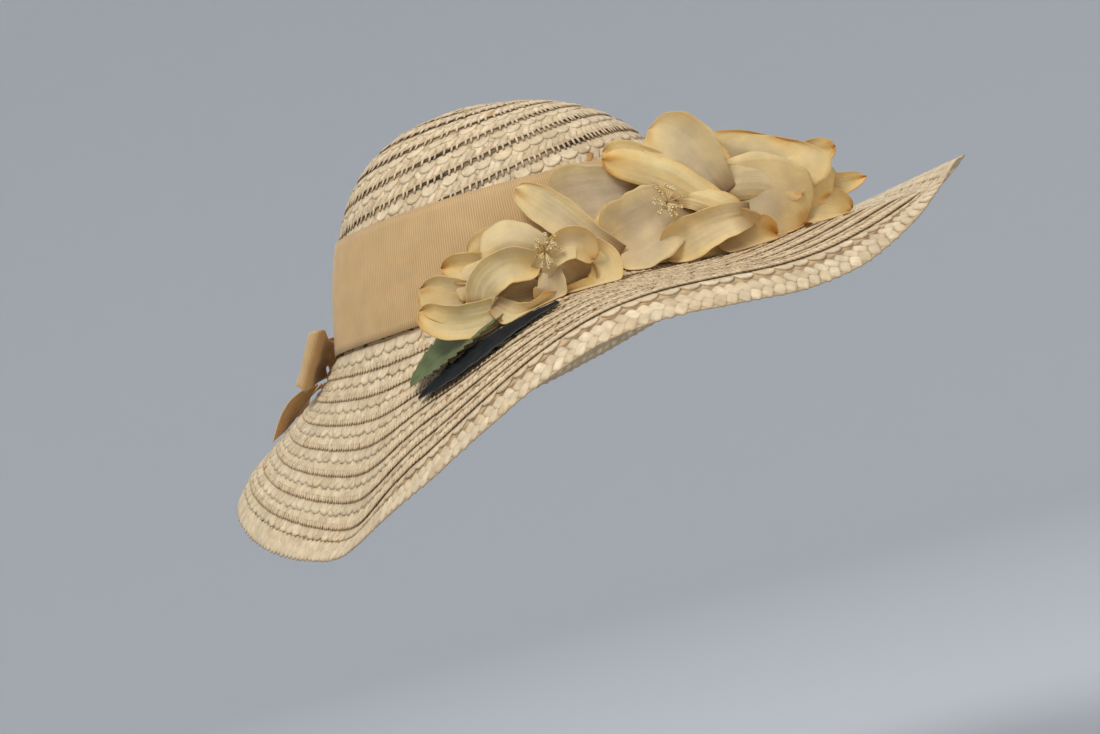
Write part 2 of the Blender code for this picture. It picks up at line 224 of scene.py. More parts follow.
class Surface:
    """A curved surface as a table of points over the angle t and a share s that runs outwards."""

    def __init__(self, shape, most=1.0, steps=(720, 240)):
        self.steps, self.most = steps, most
        t = np.linspace(0, 2 * np.pi, steps[0] + 1)
        s = np.linspace(0, most, steps[1] + 1)
        p = shape(t, s)
        step_t = np.gradient(p, t, axis=0)
        ends = (p[1] - p[-2]) / (t[1] + t[-1] - t[-2])
        step_t[0] = step_t[-1] = ends
        step_s = np.gradient(p, s, axis=1)
        normal = np.cross(step_s, step_t)
        length = np.linalg.norm(normal, axis=-1, keepdims=True)
        self.table = p
        self.normal = normal / np.maximum(length, 1e-9)
        self.long = np.linalg.norm(step_t, axis=-1)[..., None]
        self.wide = np.linalg.norm(step_s, axis=-1)[..., None]

    def look(self, table, t, s):
        x = np.mod(t / (2 * np.pi), 1.0) * self.steps[0]
        y = np.clip(s / self.most, 0, 1) * self.steps[1]
        i = np.minimum(x.astype(int), self.steps[0] - 1)
        j = np.minimum(y.astype(int), self.steps[1] - 1)
        fx, fy = (x - i)[..., None], (y - j)[..., None]
        near = table[i, j] * (1 - fx) + table[i + 1, j] * fx
        return near * (1 - fy) + (table[i, j + 1] * (1 - fx) + table[i + 1, j + 1] * fx) * fy

    def at(self, t, s, h):
        t, s = np.broadcast_arrays(np.asarray(t, float), np.asarray(s, float))
        return self.look(self.table, t, s) + self.look(self.normal, t, s) * np.asarray(h)[..., None]

    def stamp(self, piece, t, s, turn, lift, size=1.0, side=1.0):
        """Copies of a small mesh at (t, s): its a runs round the hat, its b outwards, its h off the straw."""
        verts, quads, bottom, shades = piece
        k, n = len(t), len(verts)
        turn, lift = np.broadcast_to(turn, (k,)), np.broadcast_to(lift, (k,))
        size = np.broadcast_to(size, (k,))[:, None]
        c, q = np.cos(turn)[:, None], np.sin(turn)[:, None]
        a = (verts[:, 0] * c - verts[:, 1] * q) * size
        b = (verts[:, 0] * q + verts[:, 1] * c) * size
        per_t, per_s = self.look(self.long, t, s), self.look(self.wide, t, s)
        h = side * (lift[:, None] + verts[:, 2])
        points = self.at(t[:, None] + a / per_t, s[:, None] + b / per_s, h).reshape(-1, 3)
        base = (np.arange(k) * n)[:, None, None]
        flip = slice(None, None, -1) if side > 0 else slice(None)
        faces = (quads[None] + base).reshape(-1, 4)[:, flip].tolist()
        faces += (bottom[None] + base[:, 0])[:, flip].tolist()
        own = np.stack([verts[:, 0] * 1.6, verts[:, 1] * 0.25, verts[:, 2] * 0.5], -1)
        grain = (own[None] + RNG.uniform(0, 90, (k, 1, 3))).reshape(-1, 3)
        return points, faces, np.tile(shades, k), grain


def around(stops, t):
    """A smooth periodic curve through stops, which maps an angle in degrees to a value."""
    at = np.array(list(stops), float)
    value = np.array(list(stops.values()), float)
    n = len(at)
    deg = np.degrees(np.mod(t, 2 * np.pi))
    i = np.searchsorted(at, deg, side="right") - 1
    far, wide = np.concatenate([at - 360, at, at + 360]), np.tile(value, 3)
    x = [far[i + n + k] for k in (-1, 0, 1, 2)]
    y = [wide[i + n + k] for k in (-1, 0, 1, 2)]
    h = x[2] - x[1]
    f = (deg - x[1]) / h
    m0, m1 = (y[2] - y[0]) / (x[2] - x[0]) * h, (y[3] - y[1]) / (x[3] - x[1]) * h
    low = (2 * f**3 - 3 * f**2 + 1) * y[1] + (f**3 - 2 * f**2 + f) * m0
    return low + (3 * f**2 - 2 * f**3) * y[2] + (f**3 - f**2) * m1


def head(t):
    return np.stack([HEAD_X * np.sin(t), -HEAD_Y * np.cos(t)], -1)


def head_out(t):
    out = np.stack([np.sin(t) / HEAD_X, -np.cos(t) / HEAD_Y], -1)
    return out / np.linalg.norm(out, axis=-1, keepdims=True)


def brim_table(t, s):
    e = np.clip((s - EDGE_FROM) / (EDGE_TO - EDGE_FROM), 0, 1)
    e = e * e * (3 - 2 * e)
    inner = np.clip(1 - s / INNER_TO, 0, 1)
    ang = around(BRIM_SLOPE, t)[:, None] + INNER_CURL * inner + around(BRIM_EDGE, t)[:, None] * e
    ang = np.radians(ang)
    step = np.diff(s) * around(BRIM_WIDTH, t)[:, None]
    zero = np.zeros((len(t), 1))
    r = np.concatenate([zero, np.cumsum((np.cos(ang[:, 1:]) + np.cos(ang[:, :-1])) / 2 * step, 1)], 1)
    z = np.concatenate([zero, np.cumsum((np.sin(ang[:, 1:]) + np.sin(ang[:, :-1])) / 2 * step, 1)], 1)
    xy = head(t)[:, None] + head_out(t)[:, None] * r[..., None]
    return np.concatenate([xy, -z[..., None]], -1)


def crown_table(t, s):
    """The crown from its tip centre (0) out and down to the headline (1), by length along the surface."""
    z = 1 - (1 - np.linspace(0, 1, 321)) ** 3
    k = (1 - CROWN_TAPER * z) * np.clip(1 - z**CROWN_POWER, 0, 1) ** (1 / CROWN_ROUND)
    xy = head(t)[:, None, :] * k[None, :, None]
    mean, tip = (CROWN_FRONT + CROWN_BACK) / 2, (CROWN_BACK - CROWN_FRONT) / 2
    height = (mean + tip * xy[..., 1] / HEAD_Y) * z
    p = np.stack([xy[..., 0], xy[..., 1] + CROWN_LEAN * z, height], -1)
    run = np.linalg.norm(np.diff(p, axis=1), axis=-1)
    arc = np.concatenate([np.zeros((len(t), 1)), np.cumsum(run, axis=1)], axis=1)
    rows = []
    for angle, a, q in zip(t, arc, p):
        u = 1 - s + CROWN_ROW_TILT * np.sin(np.pi * (1 - s)) * np.cos(angle)
        rows.append(np.stack([np.interp(u * a[-1], a, q[:, i]) for i in range(3)], -1))
    return np.array(rows)


def crown_level(t, z):
    """Points on the crown at height z above the headline."""
    y = -np.cos(t)
    height = (CROWN_FRONT + CROWN_BACK) / 2 + (CROWN_BACK - CROWN_FRONT) / 2 * y
    share = z / height
    k = (1 - CROWN_TAPER * share) * (1 - share**CROWN_POWER) ** (1 / CROWN_ROUND)
    xy = head(t) * k[..., None]
    return np.stack([xy[..., 0], xy[..., 1] + CROWN_LEAN * share, np.broadcast_to(z, share.shape)], -1)


BRIM = Surface(brim_table, most=1.03)
CROWN = Surface(crown_table)


# ---------------------------------------------------------------- straw

def blend(low, high, share):
    share = np.asarray(share)[..., None]
    return np.asarray(low) * (1 - share) + np.asarray(high) * share


class Braid:
    """Gathers the strip and the straws of one round of braid, and makes one mesh of them."""

    def __init__(self, surface, inner, outer):
        self.surface, self.inner, self.outer = surface, inner, outer
        self.points, self.faces, self.tints, self.grains, self.count = [], [], [], [], 0
        t = np.linspace(0, 2 * np.pi, 360, endpoint=False)
        mid = np.full(t.shape, (inner + outer) / 2)
        ring = surface.at(t, mid, np.zeros(t.shape))
        self.girth = np.linalg.norm(np.roll(ring, -1, 0) - ring, axis=-1).sum()
        self.width = float(surface.look(surface.wide, t, mid).mean()) * (outer - inner)

    def lift(self, s):
        """Height of the strip's middle over the surface: tucked in inside, riding over outside."""
        return -LIFT + 2 * LIFT * (s - self.inner) / (self.outer - self.inner)

    def add(self, points, faces, tint, grain):
        base = self.count
        self.points.append(points)
        self.faces += [[i + base for i in f] for f in faces] if base else faces
        self.tints.append(tint)
        self.grains.append(grain)
        self.count += len(points)

    def strip(self, seam, gap, shadow_at):
        """The flat ground of the braid, with painted shade in the open seam just outside the round that laps
        over it.

        A second, brown line lies `shadow_at` mm out: a painted shadow under the free ends of the scales.
        """
        n, across, half = 720, 41, 0.36
        t = np.linspace(0, 2 * np.pi, n, endpoint=False)
        share = np.linspace(0, 1, across)
        s = self.inner + (self.outer - self.inner) * share[:, None]
        wave = 0.0022 * np.sin(t * 37) * share[:, None] ** 4
        top = self.surface.at(t[None], s + wave, self.lift(s) - 0.1 + half + 0 * t)
        low = self.surface.at(t[None], s + wave, self.lift(s) - 0.1 - half + 0 * t)[::-2]
        points = np.concatenate([top, low]).reshape(-1, 3)
        rows = len(top) + len(low)
        faces = grid(n, rows, closed=True)
        last = (rows - 1) * n + np.arange(n)
        close = np.stack([last, np.roll(last, -1), np.roll(np.arange(n), -1), np.arange(n)], 1)
        d = (share * self.width)[:, None]
        phase = RNG.uniform(0, 6.28, 3)
        # Painted shade: the open seam takes the seam colour, patchy along the round, and a painted brown
        # shadow lies under the scales' free ends; the rest of the ground is a little darker, so the gaps
        # between straws read as shade.
        open_share = 0.62 + 0.30 * np.sin(5 * t + phase[0]) + 0.25 * np.sin(11 * t + phase[1])
        seam_shade_share = np.exp(-(((d - LAP - gap / 2) / (0.6 * gap)) ** 4)) * np.clip(open_share, 0.25, 1)
        strength = np.clip(0.75 + 0.3 * np.sin(7 * t + phase[2]), 0.3, 1)
        brown = np.exp(-(((d - shadow_at) / 1.1) ** 2)) * strength
        colour = blend(STRAW_MID, STRAW_SHADOW_BROWN, 0.12 + 0.80 * brown)
        colour = colour * (1 - seam_shade_share[..., None]) + np.asarray(seam) * seam_shade_share[..., None]
        under = np.broadcast_to(np.asarray(STRAW_MID) * 0.8, (len(low), n, 3))
        tint = np.concatenate([colour, under]).reshape(-1, 3)
        grain = np.tile(np.stack([t * self.girth / 6.28, 0 * t, 0 * t], -1), (rows, 1)) * 0.3
        self.add(points, np.concatenate([faces, close])[:, ::-1].tolist(), tint, grain)

    def straws(self, piece, offset, pitch, turn=0.0, lift=0.25, jitter=0.12, phase=0.0, side=1.0,
               low=STRAW_SHADOW_BROWN, stained=0.004):
        """A ring of straws centred `offset` mm inside the round's outer edge."""
        count = max(12, int(round(self.girth / pitch)))
        t = (np.arange(count) + phase + RNG.uniform(-jitter, jitter, count)) / count * 2 * np.pi
        s = np.full(count, self.outer - (self.outer - self.inner) * offset / self.width)
        size = RNG.uniform(0.93, 1.07, count)
        twist = turn + RNG.normal(0, 0.05, count)
        rest = self.lift(s) * side + lift + RNG.normal(0, 0.04, count)
        points, faces, shade, grain = self.surface.stamp(piece, t, s, twist, rest, size, side)
        pale = blend(STRAW_PALE, STRAW_MID, RNG.uniform(0, 0.75, count) ** 1.6)
        knots = RNG.random(count) < stained
        pale[knots] = STRAW_KNOT
        pale = pale * RNG.uniform(0.88, 1.06, (count, 1))
        per = np.repeat(pale, len(piece[0]), axis=0)
        # low is the painted shade colour, mixed in where the shade share is below 1: each straw's sides, ends
        # and foot.
        tint = np.asarray(low) * (1 - shade[:, None]) + per * shade[:, None]
        self.add(points, faces, tint, grain)

    def make(self, name, node):
        points = np.concatenate(self.points)
        tint, grain = np.concatenate(self.tints), np.concatenate(self.grains)
        obj = mesh(name, points, self.faces, STRAW, tint, grain)
        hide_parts(node)


TICK = strand(1.3, 3.4, 0.40, 0.2, 3, 4)
BAR = strand(1.25, 5.4, 0.45, 0.2, 3, 4)
SCALE = scallop(9.4, 7.0, 1.35)
FLAT = strand(3.0, 5.6, 0.34, 0.25)
CHEVRON = strand(3.6, 6.4, 0.42, 0.3)
UNDER = strand(4.0, 7.4, 0.4, 0.3, 4, 4)
LEAN = 0.62         # how far a plaited straw leans from straight across, in radians
SCALE_OUT = 8.2     # from the hidden edge to the free ends of the scales, plus the lap


def underside(braid):
    braid.straws(UNDER, 0.30 * braid.width, 5.2, -LEAN, 0.32, 0.15, side=-1.0)
    braid.straws(UNDER, 0.72 * braid.width, 5.2, LEAN, 0.32, 0.15, 0.5, side=-1.0)


def brim_round(number, inner, outer, last):
    """Outwards from the seam: a row of scales, a flat plait and, at the free edge, a comb of short straws."""
    braid = Braid(BRIM, inner, outer)
    # The seam colour is painted shade: brown, and black in the last round.
    braid.strip(STRAW_SHADOW_BROWN if not last else STRAW_SEAM_SHADE, 1.0, LAP + SCALE_OUT)
    width = braid.width
    braid.straws(SCALE, width - LAP - 3.9, 8.6, 0.0, 0.20, 0.16, low=STRAW_SHADE, stained=0.0)
    if last:
        reach = (width - LAP - SCALE_OUT) / 2
        fat = strand(5.6, reach * 1.36, 0.62, 0.35, 7, 8)
        braid.straws(fat, reach * 0.52, 5.2, LEAN, 0.36, 0.08, low=STRAW_SHADE, stained=0.0)
        braid.straws(fat, reach * 1.40, 5.2, -LEAN, 0.36, 0.08, 0.5, low=STRAW_SHADE, stained=0.0)
    else:
        braid.straws(FLAT, 5.0, 3.3, -0.35, 0.22, 0.2, low=STRAW_MID)
        braid.straws(FLAT, 2.9, 3.0, 0.25, 0.24, 0.2, 0.5, low=STRAW_MID)
        braid.straws(TICK, 0.7, 2.5, 0.0, 0.42, 0.14, low=STRAW_SHADE)
    underside(braid)
    braid.make(f"brim_braid_{number}", f"brim_row_{number}")


def brim_straw():
    steps = BRIM_ROWS - 1
    edges = [0.006] + [BRIM_LAST - (steps - 1 - i) * BRIM_PITCH for i in range(steps)] + [1.0]
    for i in range(BRIM_ROWS):
        inner = edges[i] - (LAP / BRIM_MEAN if i else 0)
        brim_round(i + 1, inner, edges[i + 1], i == steps)


def crown_round(number, foot, top):
    """As on the brim, with an open ladder of short bars across each seam and a plainer plait."""
    braid = Braid(CROWN, 1 - top, 1 - foot)
    # The seam is painted black: painted shade in the open ladder between the bars.
    braid.strip(STRAW_SEAM_SHADE, 2.4, LAP + SCALE_OUT + 1.4)
    width = braid.width
    braid.straws(SCALE, width - LAP - 5.6, 8.8, 0.0, 0.0, 0.18, low=STRAW_SHADE, stained=0.0)
    braid.straws(CHEVRON, 6.0, 3.9, -LEAN, 0.18, 0.16, low=STRAW_SHADE)
    braid.straws(CHEVRON, 3.0, 3.9, LEAN, 0.18, 0.16, 0.5, low=STRAW_SHADE)
    braid.straws(BAR, -0.6, 3.1, 0.0, 0.10, 0.22)
    underside(braid)
    braid.make(f"crown_braid_{number:02d}", f"crown_row_{number:02d}")


def crown_straw():
    edges = np.linspace(CROWN_FIRST, CROWN_LAST, CROWN_ROWS + 1)
    lap = LAP / CROWN_MEAN
    for i in range(CROWN_ROWS):
        crown_round(i + 1, edges[i], edges[i + 1] + lap)


def crown_button():
    """The start of the braid at the tip centre: a disc wound from two turns of straw, ridged and grooved."""
    n, rings, turns, lobes = 240, 25, 2.5, 20
    t = np.linspace(0, 2 * np.pi, n, endpoint=False)
    rows, tints = [], []
    for share, s in zip(np.linspace(0, turns, rings), np.linspace(1 - CROWN_LAST + 0.012, 0.004, rings)):
        wound = np.abs(np.sin(np.pi * (share + t / (2 * np.pi)))) ** 0.5
        lobe = np.abs(np.sin(lobes * t / 2 + 2.5 * share)) ** 0.5
        rows.append(CROWN.at(t, np.full(n, s), LIFT + 0.35 + 0.45 * wound * (0.4 + 0.6 * lobe)))
        # Painted shade: darker in the grooves of the wound straw, lighter on its ridges.
        tints.append(blend(STRAW_SHADE, STRAW_PALE, np.clip(wound * (0.45 + 0.55 * lobe), 0, 1)))
    centre = np.mean(rows[-1], axis=0, keepdims=True)
    points = np.concatenate([*rows, centre])
    faces = grid(n, len(rows), closed=True).tolist()
    last = (len(rows) - 1) * n
    faces += [[last + i, last + (i + 1) % n, last + n] for i in range(n)]
    tint = np.concatenate([*tints, [STRAW_PALE]])
    obj = mesh("crown_start", points, faces, STRAW, tint, points * 0.6, thick=0.9)
    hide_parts("crown_button")


brim_straw()
crown_straw()
crown_button()


# ---------------------------------------------------------------- ribbon

RIB = 1.25          # pitch of the ribs across a grosgrain ribbon
RIBBON_THICK = 0.5
BAND_GIRTH, BAND_OUT = 590.0, 2.6      # round the band, and from the headline out to its foot
# The ribbon's colour runs between these two as painted shade in the rib troughs and painted highlight on the
# crests.
RIBBON_TAN, RIBBON_LIGHT = (0.50, 0.305, 0.12), (0.67, 0.44, 0.20)
LINING_PALE = (0.72, 0.63, 0.48)


def level_ribbon(name, node, foot, top, lift, mat, colour, light):
    """A ribbon round the crown, its ribs standing upright, slightly wavy as a sewn band is."""
    per_rib, rows = 4, 15
    n = int(BAND_GIRTH / RIB) * per_rib
    t = np.linspace(0, 2 * np.pi, n, endpoint=False)
    share = np.linspace(0, 1, rows)
    side = np.sign(lift)
    points, tints = [], []
    low = np.full(n, foot)
    if lift > 0:
        low = np.minimum(BRIM.at(t, np.full(n, BAND_OUT / BRIM_MEAN), np.full(n, 0.35))[:, 2], foot)
    for c in share:
        z = low + (top - low) * c
        q = crown_level(t, z)
        up = crown_level(t, z + 0.5) - crown_level(t, z - 0.5)
        along = np.roll(q, -1, 0) - np.roll(q, 1, 0)
        out = np.cross(along, up)
        out /= np.linalg.norm(out, axis=-1, keepdims=True)
        inner = 0.5 - 0.5 * np.cos(2 * np.pi * c)
        rib = 0.15 * np.cos(np.arange(n) / per_rib * 2 * np.pi) * (0.3 + 0.7 * min(1.0, inner * 8))
        soft = 0.30 * inner * np.sin(5 * t + 2 * c) + 0.22 * inner * np.sin(11 * t + 1.0 - 3 * c)
        points.append(q + out * (lift + side * (rib + soft + 0.25 * inner))[:, None])
        # Painted highlight and shade: each rib's crest lighter, its trough darker.
        tone = 0.5 + 0.5 * np.cos(np.arange(n) / per_rib * 2 * np.pi)
        tints.append(blend(colour, light, -0.25 + 1.1 * tone))
    points, tints = np.concatenate(points), np.concatenate(tints)
    faces = grid(n, rows, closed=True)[:, ::-1].tolist()
    obj = mesh(name, points, faces, mat, tints, thick=RIBBON_THICK)
    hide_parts(node)


def smooth(points, count):
    """`count` points at equal steps along a smooth curve through the given ones."""
    p = np.asarray(points, float)
    p = np.concatenate([2 * p[:1] - p[1:2], p, 2 * p[-1:] - p[-2:-1]])
    fine = []
    for a, b, c, d in zip(p[:-3], p[1:-2], p[2:-1], p[3:]):
        f = np.linspace(0, 1, 24, endpoint=False)[:, None]
        square, cube = 2 * a - 5 * b + 4 * c - d, 3 * b - a - 3 * c + d
        fine.append(0.5 * (2 * b + (c - a) * f + square * f**2 + cube * f**3))
    fine = np.concatenate([*fine, p[-2:-1]])
    run = np.concatenate([[0], np.cumsum(np.linalg.norm(np.diff(fine, axis=0), axis=-1))])
    want = np.linspace(0, run[-1], count)
    return np.stack([np.interp(want, run, fine[:, i]) for i in range(fine.shape[1])], -1)


def free_ribbon(name, node, left, right, body, creases=0.8):
    """A stretch of ribbon between two edge lines: ribs cross it, and it is creased along its length."""
    length = np.linalg.norm(np.diff(smooth(left, 200), axis=0), axis=-1).sum()
    per_rib, across = 4, 21
    n = int(length / RIB) * per_rib
    a, b = smooth(left, n), smooth(right, n)
    share = np.linspace(0, 1, across)[:, None, None]
    base = a[None] * (1 - share) + b[None] * share
    along = np.gradient(base, axis=1)
    side = np.broadcast_to((b - a)[None], base.shape)
    out = np.cross(along, side)
    out /= np.linalg.norm(out, axis=-1, keepdims=True)
    c, s = share[..., 0], np.linspace(0, 1, n)[None]
    rib = 0.10 * np.cos(np.arange(n)[None] / per_rib * 2 * np.pi)
    pinch = np.exp(-s * 5) + np.exp(-(1 - s) * 5) * (body == "hat")
    fold = creases * np.sin(c * 2 * np.pi * 2.5) * pinch + 0.5 * np.sin(3.0 * s + 4 * c) * np.sin(np.pi * c)
    points = (base + out * (rib + fold)[..., None]).reshape(-1, 3)
    # Painted highlight and shade across the ribs, crests lighter and troughs darker; both edges lighter as
    # well.
    tone = np.broadcast_to(0.5 + 0.5 * np.cos(np.arange(n)[None] / per_rib * 2 * np.pi), (across, n))
    light = 0.15 + 0.6 * tone + 0.25 * (np.abs(c - 0.5) > 0.47)
    tint = blend(RIBBON_TAN, RIBBON_LIGHT, np.clip(light, 0, 1)).reshape(-1, 3)
    faces = grid(n, across).tolist()
    obj = mesh(name, points, faces, RIBBON, tint, body=body, thick=RIBBON_THICK)
    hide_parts(node)


def cut_size(obj):
    """The flat cut of a cloth piece before Solidify: its width and length, and its area, in metres."""
    area = sum(face.area for face in obj.data.polygons)
    co = np.array([v.co[:] for v in obj.data.vertices])
    co -= co.mean(0)
    spread = np.sort(np.ptp(co @ np.linalg.svd(co[::7], full_matrices=False)[2].T, axis=0))[::-1]
    length = max(float(spread[0]) * 1.05, 0.012)
    width = max(area / length * 1.25, 0.011)
    return (round(width, 4), round(length, 4)), min(area, width * length)


# Each half of the bow: its side, how much deeper its loop hangs, and its tail's reach, drop and slant
BOW_HALVES = {"right": (-1, 6.0, 21.5, 16.5, 7), "left": (1, 0.0, 24, 14, 0)}


def bow():
    _, hy, hz = TAIL_HINGE
    for name, (side, deep, reach, drop, slant) in BOW_HALVES.items():
        inner = [(7.2, 111), (20, 108), (34, 102.5), (44, 98.5), (49, 99)]
        outer = [(50, 102.5), (45, 107), (33, 113), (19, 117.5), (7.2, 117.5)]
        top, foot = [], []
        for k, (x, y) in enumerate(inner + outer):
            grow = (x - 7) / 42
            high, low = 8.5 + 4.5 * grow, -8.5 - deep * grow + (3.0 if k >= len(inner) else 0.0)
            top.append((side * x, y - BOW_LEAN * (high - 1), high))
            foot.append((side * x, y - BOW_LEAN * (low - 1), low))
        free_ribbon(f"bow_ribbon_loop_{name}", f"bow_loop_{name}", top, foot, "hat")
        near, far = [], []
        for s in np.linspace(0, 1, 6):
            y = hy + reach * s
            arch = np.sin(np.pi * s)
            near.append((side * (0.8 + 2.4 * s), y - 3 * s, hz - drop * s + 1.5 * s))
            far.append((side * (9.5 + 15.5 * s), y + 2 * arch, hz - (drop + slant) * s + 5 * arch))
        free_ribbon(f"bow_ribbon_tail_{name}", f"bow_tail_{name}", near, far, f"{name}_tail", 1.0)


def bow_wrap():
    """The wrap of ribbon round the middle of the bow."""
    n, across = 96, 17
    power, half_deep, half_high = 3.0, 5.8, 8.8     # of the rounded square that the wrap follows
    a = np.linspace(0, 2 * np.pi, n, endpoint=False)
    points = []
    for c in np.linspace(-1, 1, across):
        y = np.sign(np.cos(a)) * np.abs(np.cos(a)) ** (2 / power) * half_deep
        z = np.sign(np.sin(a)) * np.abs(np.sin(a)) ** (2 / power) * half_high
        squeeze = 1 + 0.05 * c * c - 0.04 * np.cos(3 * np.pi * c)
        y, z = y * squeeze, z * squeeze
        points.append(np.stack([np.full(n, 5.8 * c), 114 + y - BOW_LEAN * z, 1.5 + z], -1))
    points = np.concatenate(points)
    tint = blend(RIBBON_TAN, RIBBON_LIGHT, np.full(len(points), 0.5))
    faces = grid(n, across, closed=True).tolist()
    obj = mesh("bow_wrap", points, faces, RIBBON, tint, thick=RIBBON_THICK)
    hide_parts("bow_knot")


level_ribbon("band_ribbon", "hat_band", BAND_FOOT, BAND_TOP, BAND_LIFT, RIBBON,
             RIBBON_TAN, RIBBON_LIGHT)
level_ribbon("sweat_ribbon", "sweatband", SWEAT_FOOT, SWEAT_TOP, SWEAT_LIFT, LINING,
             LINING_PALE, LINING_PALE)
bow()
bow_wrap()


# ---------------------------------------------------------------- flowers

SPRAY_TURN, SPRAY_NOD, SPRAY_ROLL = -68.3, -3.8, -14.8
BEAD_YELLOW, BEAD_CREAM = (0.84, 0.62, 0.26), (0.88, 0.76, 0.46)
GREY, CREAM = (0.56, 0.43, 0.27), (0.76, 0.58, 0.27)
# The last of these, the dark brown, is painted shade for the flowers' hollows.
YELLOW, ORANGE, HOLLOW_SHADE = (0.74, 0.46, 0.13), (0.58, 0.28, 0.05), (0.26, 0.11, 0.025)


FULLNESS = 1.35     # how much broader a petal is cut than its named width


def spray_axes():
    az, el, roll = np.radians([SPRAY_TURN, SPRAY_NOD, SPRAY_ROLL])
    face = np.array([np.sin(az) * np.cos(el), -np.cos(az) * np.cos(el), np.sin(el)])
    side = np.array([np.cos(az), np.sin(az), 0.0])
    up = np.cross(face, side)
    return np.cos(roll) * side + np.sin(roll) * up, -np.sin(roll) * side + np.cos(roll) * up, face


RIGHT, UP, FACE = spray_axes()


def in_spray(centre, local):
    local = np.asarray(local, float)
    return np.array(centre) + local[..., :1] * RIGHT + local[..., 1:2] * UP + local[..., 2:] * FACE


NEAR_T, NEAR_V = np.meshgrid(np.radians(np.arange(200, 371, 1.5)), np.linspace(0, 0.9, 46), indexing="ij")
NEAR_BRIM = BRIM.at(NEAR_T, NEAR_V, np.zeros(NEAR_T.shape)).reshape(-1, 3)
NEAR_NORMAL = BRIM.look(BRIM.normal, NEAR_T, NEAR_V).reshape(-1, 3)


def rest_on_brim(points, gap=1.5, ease=1.3):
    """Lifts whatever would sink into the brim, so that it lies `gap` mm over the middle of the straw."""
    near = ((points[:, None, :2] - NEAR_BRIM[None, :, :2]) ** 2).sum(-1).argmin(1)
    place, normal = NEAR_BRIM[near], NEAR_NORMAL[near]
    level = place[:, 2] - ((points[:, :2] - place[:, :2]) * normal[:, :2]).sum(1) / normal[:, 2]
    lifted = level + gap + ease * np.logaddexp(0, (points[:, 2] - level - gap) / ease)
    outside = (points[:, 0] / HEAD_X) ** 2 + (points[:, 1] / HEAD_Y) ** 2 > 1
    return np.column_stack([points[:, :2], np.where(outside, lifted, points[:, 2])])


